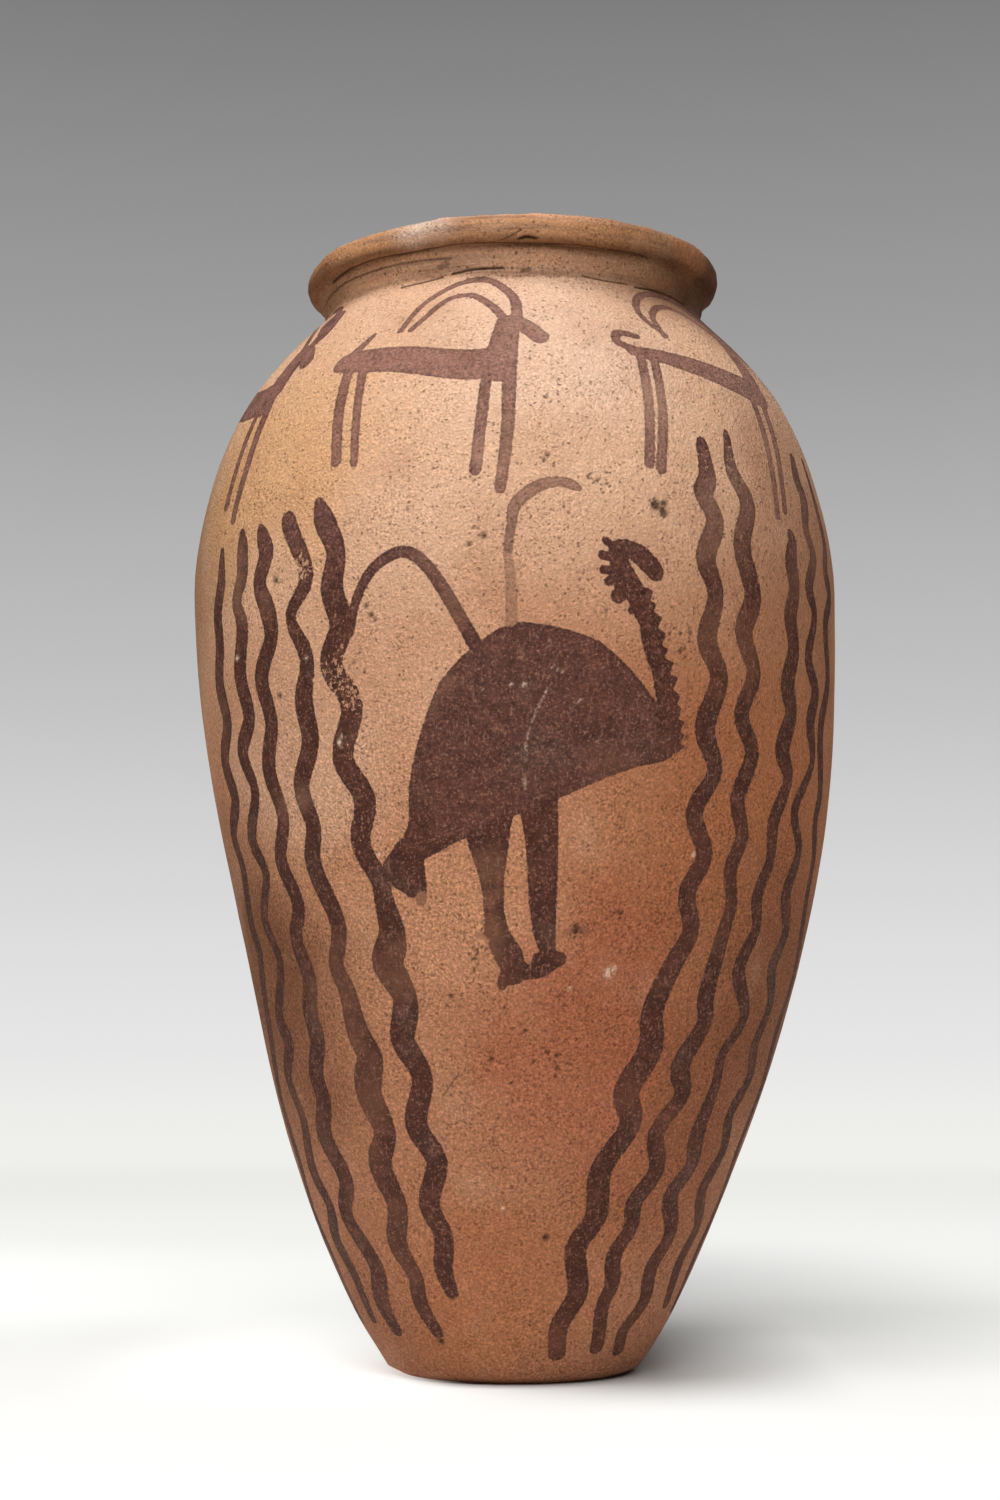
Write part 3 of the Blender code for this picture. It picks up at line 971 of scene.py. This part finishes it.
# The scales of the noises, in waves a metre, and how far the pores wander, in metres.
CLOUD_SCALE = 45
BROAD_SCALE = 14
WARP_SCALE = 30
GRIT_PATCH_SCALE = 85
GRAIN_SCALE = 1500
FLECK_SCALE = 900
WASH_SCALE = 70
THIN_SCALE = 38
DAUB_SCALE = 330
PORE_SCALE = 900
PORE_PATCH_SCALE = 55
PORE_WANDER = 0.001
LUMP_SCALE = 420
BULGE_SCALE = 130
# The same along x, y and z, for streaks round the lip and for scratches down the paint.
WIPED = (24, 24, 430)
BRUSHED = (1500, 700, 260)

# Heights in metres between which the colours of the neck and lip set in, among them painted shade in the
# groove and a top that is partly worn and partly a painted highlight.
NECK_DIRT = (0.2738, 0.2752)
LIP_DIRT = (0.281, 0.284)
GROOVE_SHADE_FROM = (0.28, 0.2822)
GROOVE_SHADE_TO = (0.2845, 0.2825)
WORN_AND_LIT_TOP = (0.2868, 0.2895)

# Broad soft spots on the clay, partly its mottling and partly painted shade low down and towards the edges:
# degrees, height and radius in mm, colour, and how strong.
TINTS_AND_SHADE = (
    (48, 140, 85, (0.335, 0.112, 0.043, 1), 0.9),
    (-66, 96, 56, (0.17, 0.06, 0.023, 1), 0.92),
    (-86, 205, 60, (0.37, 0.185, 0.09, 1), 0.9),
    (62, 205, 52, (0.33, 0.14, 0.066, 1), 0.75),
    (34, 66, 58, (0.25, 0.08, 0.03, 1), 0.8),
    (-52, 12, 32, (0.24, 0.08, 0.03, 1), 0.7),
    (64, 92, 56, (0.19, 0.066, 0.026, 1), 0.75),
    (-4, 26, 42, (0.35, 0.12, 0.045, 1), 0.6),
    (14, 92, 34, (0.33, 0.1, 0.046, 1), 0.75),
    (9, 60, 26, (0.4, 0.135, 0.07, 1), 0.55),
    (-46, 228, 46, (0.58, 0.3, 0.12, 1), 0.6),
    (10, 256, 42, (0.74, 0.5, 0.365, 1), 0.65),
    (-17, 205, 26, (0.66, 0.4, 0.26, 1), 0.5),
    (150, 190, 70, (0.6, 0.3, 0.15, 1), 0.6),
    (-140, 110, 80, (0.4, 0.15, 0.07, 1), 0.7),
    (-42, 150, 34, (0.6, 0.35, 0.22, 1), 0.6),
)
# Soft spots on the lip and neck, in the same columns: brown patina on the left, an orange top on the right,
# a pale painted highlight on the top at the left, and painted shadow in the two dark brown spots under the
# lip on the right.
LIP_TINTS_AND_SHADOW = (
    (40, 283, 34, (0.19, 0.08, 0.026, 1), 0.45),
    (74, 281, 40, (0.09, 0.03, 0.008, 1), 0.92),
    (56, 290, 12, (0.6, 0.25, 0.1, 1), 0.35),
    (-26, 290, 11, (0.86, 0.68, 0.56, 1), 0.6),
    (-75, 280, 26, (0.26, 0.1, 0.036, 1), 0.5),
)


def tinted_and_shaded(n, place, warp, clay, tints):
    """The clay with broad soft spots of other colours on the wall or the lip, some of them painted shade.
    """
    for degrees, up, reach, colour, amount in tints:
        radius, level = section(run_at(up * MM))
        if up * MM > HEIGHT - NECK_HEIGHT:
            radius, level = LIP_RADIUS, up * MM
        turn = math.radians(degrees)
        centre = (radius * math.sin(turn) + sway(level), -radius * math.cos(turn), level)
        away = n.plus(n.vector("DISTANCE", place, centre), warp)
        clay = n.mix(n.range(away, reach * MM, 0.25 * reach * MM, 0, amount), clay, colour)
    return clay


def clay_colour(n, place, height, cloud, grain):
    """The unpainted clay: pale above, redder below, mottled, sandy and browned at the lip, with broad spots
    of painted shade and a painted shadow under the lip.
    """
    broad = n.noise(place, BROAD_SCALE, 3)
    climb = n.plus(height, n.swing(broad, 0.1))
    clay = n.mix(n.range(climb, 0.13, 0.235), TAN, BUFF)
    clay = n.mix(n.range(climb, 0.12, 0.03, 0, 0.7), clay, RED_CLAY)
    warp = n.swing(n.noise(place, WARP_SCALE, 3), 0.05)
    # Broad spots of colour on the wall, some of them painted shade towards the edges and low down.
    clay = tinted_and_shaded(n, place, warp, clay, TINTS_AND_SHADE)
    clay = lip_colour(n, place, height, cloud, clay)
    # Spots on the lip: patina, a painted highlight on its top at the left and painted shadow under it on
    # the right.
    clay = tinted_and_shaded(n, place, n.times(warp, 0.5), clay, LIP_TINTS_AND_SHADOW)
    clay = n.mix(n.range(cloud, 0.45, 0.8, 0, 0.3), clay, RED_CLAY)
    clay = n.mix(n.range(cloud, 0.45, 0.2, 0, 0.1), clay, CHALK)
    clay = n.mix(n.times(n.attribute("inside"), 0.7), clay, INSIDE_CLAY)
    gritty = n.range(n.noise(place, GRIT_PATCH_SCALE, 3), 0.42, 0.62, 0.3, 1)
    dark = n.times(n.range(grain, 0.55, 0.66, 0, 0.75), gritty)
    clay = n.mix(dark, clay, DARKER, "MULTIPLY")
    clay = n.mix(n.range(grain, 0.47, 0.36), clay, LIGHTER, "MULTIPLY")
    rough = n.range(grain, 0.36, 0.64, 1.16, 0.84, smooth=False)
    return n.mix(n.range(height, 0.205, 0.12), clay, rough, "MULTIPLY")


def lip_colour(n, place, height, cloud, clay):
    """Brown dirt under and on the rolled lip, painted shade in the groove under it, and its top paler and
    more orange, partly wear and partly a painted highlight.
    """
    streak = n.noise(n.vector("MULTIPLY", place, WIPED), 1, 3, 0.6)
    level = n.plus(height, n.swing(cloud, 0.004))
    lip = n.mix(n.range(streak, 0.44, 0.56), LIP_CLAY, PATINA_AND_SHADE)
    clay = n.mix(n.range(level, *NECK_DIRT, 0, 0.42), clay, lip)
    clay = n.mix(n.range(level, *LIP_DIRT, 0, 0.52), clay, lip)
    # Painted shade in the groove under the rolled lip.
    groove = n.times(n.range(level, *GROOVE_SHADE_FROM), n.range(level, *GROOVE_SHADE_TO))
    clay = n.mix(n.times(groove, 0.75), clay, PATINA_AND_SHADE)
    # The lip's top paler and more orange: partly wear, partly a painted highlight.
    clay = n.mix(n.range(level, *WORN_AND_LIT_TOP, 0, 0.85), clay, RIM_CLAY_AND_HIGHLIGHT)
    wipe = n.times(n.range(level, *NECK_DIRT), n.range(streak, 0.5, 0.66, 0, 0.6))
    return n.mix(wipe, clay, DARKER, "MULTIPLY")


def paint_colour(n, place, height, distance, fleck, grain):
    """The paint: brown to purple, washed redder and greyer, darker where it pooled at its edge,
    with fine pale flecks and scratches."""
    tone = n.math("ADD", n.attribute("tone"), n.range(height, 0.18, 0.225, 0, 0.4), clamp=True)
    paint = n.mix(tone, PAINT, PURPLE_PAINT)
    wash = n.noise(place, WASH_SCALE, 4, 0.6)
    paint = n.mix(n.range(wash, 0.5, 0.66, 0, 0.55), paint, RED_PAINT)
    paint = n.mix(n.range(wash, 0.46, 0.32, 0, 0.45), paint, GREY_PAINT)
    daub = n.noise(place, DAUB_SCALE, 3, 0.7)
    paint = n.mix(n.range(daub, 0.5, 0.64, 0, 0.5), paint, PAINT_EDGE)
    paint = n.mix(n.range(daub, 0.47, 0.34, 0, 0.45), paint, DAUB)
    paint = n.mix(n.range(distance, -1.1, -0.2, 0, 0.45), paint, PAINT_EDGE)
    paint = n.mix(n.range(fleck, 0.56, 0.68, 0, 0.42), paint, FLECK)
    paint = n.mix(n.range(grain, 0.6, 0.68, 0, 0.45), paint, FLECK)
    rough = n.range(grain, 0.36, 0.64, 0.6, 1.4, smooth=False)
    paint = n.mix(0.9, paint, rough, "MULTIPLY")
    scratch = n.noise(n.vector("MULTIPLY", place, BRUSHED), 1, 1, 0.5)
    return n.mix(n.range(scratch, 0.66, 0.74, 0, 0.35), paint, FLECK)


def pores(n, place):
    """How deep each point lies in the many small pores, which gather in patches."""
    wander = n.add("VectorMath", {"operation": "SCALE"}, Scale=PORE_WANDER)
    colour = n.add("TexNoise", Vector=place, Scale=PORE_SCALE, Detail=1).outputs["Color"]
    n.put(wander.inputs[0], colour)
    near, tint = n.speckles(n.vector("ADD", place, wander.outputs["Vector"]), PORE_SCALE)
    pick = n.add("SeparateColor", Color=tint).outputs["Red"]
    patchy = n.plus(pick, n.times(n.noise(place, PORE_PATCH_SCALE, 2), 0.6))
    return n.times(n.range(near, 0.38, 0.18), n.range(patchy, 1.02, 1.16))


def clay_material():
    n = Nodes("painted_clay")
    place = n.add("TexCoord").outputs["Object"]
    height = n.add("SeparateXYZ", Vector=place).outputs["Z"]
    cloud = n.noise(place, CLOUD_SCALE, 4)
    grain = n.noise(place, GRAIN_SCALE, 2, 0.7)
    fleck = n.noise(place, FLECK_SCALE, 3, 0.75)
    clay = clay_colour(n, place, height, cloud, grain)
    pore = pores(n, place)
    # Painted shade in the pores: the clay darker the deeper a point lies in one.
    clay = n.mix(n.times(pore, 0.55), clay, PORE_SHADE)

    ragged = n.swing(fleck, 1)
    distance = n.attribute("paint")
    cover = n.range(n.plus(distance, ragged), 0.16, -0.16)
    limit = n.minus(0.78, n.times(n.attribute("worn"), 0.32))
    gone = n.math("DIVIDE", n.minus(fleck, limit), 0.05, clamp=True)
    cover = n.times(cover, n.minus(1, n.times(gone, 0.75)))
    thin = n.times(n.attribute("thin"), n.range(grain, 0.35, 0.65, 0.6, 1.5))
    thin = n.plus(thin, n.range(n.noise(place, THIN_SCALE, 3), 0.5, 0.7, 0, 0.2))
    cover = n.times(cover, n.minus(1, thin), clamp=True)
    colour = n.mix(cover, clay, paint_colour(n, place, height, distance, fleck, grain))
    stain_and_shade = n.attribute("stain_and_shade")
    # Pits and cracks darkened by their depth: dirt in them and painted shade.
    colour = n.mix(n.times(stain_and_shade, -0.95, clamp=True), colour, GRIT_AND_SHADE)
    colour = n.mix(n.times(stain_and_shade, n.range(fleck, 0.36, 0.6), clamp=True), colour, CHALK)
    n.put(n.shader.inputs["Base Color"], colour)
    n.put(n.shader.inputs["Roughness"], n.range(grain, 0.3, 0.7, 0.66, 0.84))
    n.shader.inputs["Specular IOR Level"].default_value = 0.18
    bump = n.add("Bump", Strength=0.9, Distance=0.0008)
    lumps = n.plus(n.noise(place, LUMP_SCALE, 2, 0.7), n.times(n.noise(place, BULGE_SCALE, 1), 0.8))
    rough = n.minus(lumps, n.times(grain, 0.8))
    n.put(bump.inputs["Height"], n.minus(rough, n.times(pore, 0.45)))
    n.put(n.shader.inputs["Normal"], bump.outputs["Normal"])
    return n.material


skin = new_object("painted_jar", jar_mesh(painting(), scars()))
skin.data.materials.append(clay_material())
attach(skin, "root")
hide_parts("jar")


# The stage


STAGE_GAP = 0.0002
SWEEP_RADIUS = 3
SWEEP_BEND = 1.2
SWEEP_HEIGHT = 3.4
WALL_LIGHT = 0.12
FLOOR_GLOW = 0.42
LIGHT_AIM = (0, 0, 0.15)


# Where the floor's shades set in, in metres from the jar's middle: to the left and right of it,
# behind and in front of it, and close round the foot.
SHADOW_RIGHT = (0.036, 0.084)
SHADOW_LEFT = (-0.04, 0.036)
DIM_LEFT = (-0.055, -0.12)
BEHIND_RIGHT = (0.05, 0.17)
BEHIND_LEFT = (-0.05, 0.03)
BEHIND = (0.05, 0.18)
FAR_BEHIND = (0.25, 0.5)
IN_FRONT = (-0.01, -0.085)
CONTACT = (0.041, 0.031)
CONTACT_LEFT = (-0.03, -0.01)


def floor_shade(n, place, across):
    """How strongly the floor glows: least to the right of the foot, where the soft shadow falls,
    and close in front of it."""
    parts = n.add("SeparateXYZ", Vector=place)
    right, back = parts.outputs["X"], parts.outputs["Y"]
    shade = n.range(right, *SHADOW_RIGHT, 0, 1.3, smooth=False)
    shade = n.plus(shade, n.range(right, *SHADOW_LEFT, 1.7, 0))
    shade = n.minus(shade, n.range(right, *DIM_LEFT, 0, 0.8))
    behind = n.range(right, *BEHIND_RIGHT, 0.5, 1, smooth=False)
    behind = n.plus(behind, n.range(right, *BEHIND_LEFT, 0.85, 0))
    for near, far, level in ((*BEHIND, behind), (*FAR_BEHIND, 1), (*IN_FRONT, 1)):
        shade = n.times(shade, n.range(back, near, far, 1, 0))
        shade = n.plus(shade, n.times(n.range(back, near, far), level))
    contact = n.times(n.range(across, *CONTACT), n.range(right, *CONTACT_LEFT))
    return n.times(shade, n.minus(1, contact))


def backdrop():
    """A pale round floor that curves up into a wall on every side, with its own shade."""
    points = [(0.4, 0), (1, 0), (SWEEP_RADIUS - SWEEP_BEND, 0)]
    for k in range(1, 13):
        turn = math.radians(90 * k / 12)
        points.append((SWEEP_RADIUS - SWEEP_BEND * (1 - math.sin(turn)), SWEEP_BEND * (1 - math.cos(turn))))
    points.append((SWEEP_RADIUS, SWEEP_HEIGHT))
    sides = 96
    turns = [2 * math.pi * k / sides for k in range(sides)]
    places = [(0, 0, 0)]
    for radius, height in points:
        places += [(radius * math.cos(turn), radius * math.sin(turn), height) for turn in turns]
    faces = [(0, 1 + k, 1 + (k + 1) % sides) for k in range(sides)]
    for row in range(len(points) - 1):
        for k in range(sides):
            a, b = 1 + row * sides + k, 1 + row * sides + (k + 1) % sides
            faces.append((a, a + sides, b + sides, b))
    mesh = bpy.data.meshes.new("backdrop")
    mesh.from_pydata(places, [], faces)
    mesh.shade_smooth()
    sheet = new_object("backdrop", mesh)
    sheet.location.z = -STAGE_GAP
    n = Nodes("backdrop_paper")
    place = n.add("TexCoord").outputs["Object"]
    height = n.add("SeparateXYZ", Vector=place).outputs["Z"]
    across = n.add("VectorMath", {"operation": "LENGTH"}, Vector=place).outputs["Value"]
    glow = n.range(across, 0.12, 1.3)
    fade = n.range(across, 0.4, 1.2)
    shade = n.add("ValToRGB", Fac=n.range(height, 0, 1.6, smooth=False))
    ramp = shade.color_ramp
    ramp.elements[0].color = (0.86, 0.865, 0.835, 1)
    ramp.elements[1].color = (0.205, 0.205, 0.205, 1)
    for at, grey in ((0.05, 0.79), (0.124, 0.73), (0.34, 0.54), (0.65, 0.35)):
        ramp.elements.new(at).color = (grey, grey, grey, 1)
    n.put(n.shader.inputs["Base Color"], n.mix(fade, (0.62, 0.62, 0.61, 1), (0, 0, 0, 1)))
    n.put(n.shader.inputs["Emission Color"], shade.outputs["Color"])
    seen = n.add("LightPath").outputs["Is Camera Ray"]
    lit = n.times(floor_shade(n, place, across), n.range(glow, 0, 1, FLOOR_GLOW, 1, smooth=False))
    unseen = n.range(glow, 0, 1, 1, WALL_LIGHT, smooth=False)
    n.put(n.shader.inputs["Emission Strength"], n.times(lit, n.range(seen, 0, 1, unseen, 1)))
    n.shader.inputs["Roughness"].default_value = 0.9
    n.shader.inputs["Specular IOR Level"].default_value = 0.1
    mesh.materials.append(n.material)


def area_light(name, place, size, power):
    """A round soft light, aimed at the jar's middle."""
    lamp = bpy.data.lights.new(name, "AREA")
    lamp.shape = "DISK"
    lamp.size = size
    lamp.energy = power
    light = new_object(name, lamp)
    light.location = place
    light.rotation_mode = "QUATERNION"
    light.rotation_quaternion = (Vector(LIGHT_AIM) - Vector(place)).to_track_quat("-Z", "Y")


def world_light(strength):
    world = bpy.data.worlds.new("studio")
    world.use_nodes = True
    world.node_tree.nodes["Background"].inputs["Color"].default_value = (1, 1, 1, 1)
    world.node_tree.nodes["Background"].inputs["Strength"].default_value = strength
    bpy.context.scene.world = world


backdrop()
area_light("key", (-0.54, -0.62, 1.66), 1.3, 27)
area_light("front", (0.2, -1.35, 1.15), 1.2, 16)
area_light("back", (0.9, 1.3, 1.3), 0.8, 3)
world_light(0.02)

camera = new_object("camera", bpy.data.cameras.new("camera"))
camera.data.lens = CAMERA_LENS_MM
camera.data.sensor_width = 36
camera.location = CAMERA_PLACE
camera.rotation_euler = (math.radians(90 + CAMERA_PITCH_DEG), 0, 0)
bpy.context.scene.camera = camera
bpy.context.scene.view_settings.view_transform = "Standard"
